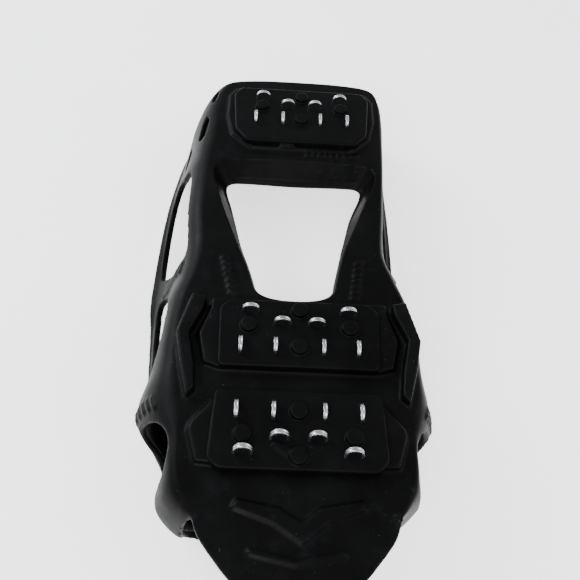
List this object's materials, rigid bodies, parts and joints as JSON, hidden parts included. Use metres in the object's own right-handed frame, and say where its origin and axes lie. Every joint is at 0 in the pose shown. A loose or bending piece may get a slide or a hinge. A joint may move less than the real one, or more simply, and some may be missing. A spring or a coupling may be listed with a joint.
{
  "type": "shoe ice cleat",
  "caption": "Black stretch-on overshoe with an open arch and side windows, whose heel, midfoot and forefoot tread pads carry arched steel cleats.",
  "frame": {"origin": "under the middle of the outline, at the height of the rim of the shoe opening, on which the overshoe lies with its tread up", "axes": "+Z out of the tread, the way the cleats point; +Y from toe to heel; +X across the foot"},
  "size_m": [0.112, 0.272, 0.0509],
  "materials": {
    "harness_rubber": "matte moulded elastomer",
    "tread_rubber": "matte moulded elastomer, harder grade",
    "cleat_steel": "polished"
  },
  "bodies": {
    "ball": {"harness_ball": "harness_rubber", "tread_pad_mid": "tread_rubber", "cleat_mid_1": "cleat_steel", "cleat_mid_2": "cleat_steel", "cleat_mid_3": "cleat_steel", "cleat_mid_4": "cleat_steel", "cleat_mid_5": "cleat_steel", "cleat_mid_6": "cleat_steel", "cleat_mid_7": "cleat_steel", "cleat_mid_8": "cleat_steel"},
    "toe": {"harness_toe": "harness_rubber", "tread_pad_fore": "tread_rubber", "cleat_fore_1": "cleat_steel", "cleat_fore_2": "cleat_steel", "cleat_fore_3": "cleat_steel", "cleat_fore_4": "cleat_steel", "cleat_fore_5": "cleat_steel", "cleat_fore_6": "cleat_steel", "cleat_fore_7": "cleat_steel", "cleat_fore_8": "cleat_steel"},
    "heel": {"harness_heel": "harness_rubber", "tread_pad_heel": "tread_rubber", "cleat_heel_1": "cleat_steel", "cleat_heel_2": "cleat_steel", "cleat_heel_3": "cleat_steel", "cleat_heel_4": "cleat_steel", "cleat_heel_5": "cleat_steel", "cleat_heel_6": "cleat_steel", "cleat_heel_7": "cleat_steel", "cleat_heel_8": "cleat_steel"}
  },
  "joints": [
    {"name": "ball_flex", "type": "hinge", "parent": "ball", "child": "toe", "pos_m": [0, -0.05, 0.0405], "axis": [-1, 0, 0], "range_deg": [-20, 35], "stiffness_Nm_per_rad": 0.5},
    {"name": "arch_flex", "type": "hinge", "parent": "ball", "child": "heel", "pos_m": [0, 0.03, 0.0405], "axis": [1, 0, 0], "range_deg": [-10, 45], "stiffness_Nm_per_rad": 0.3}
  ]
}
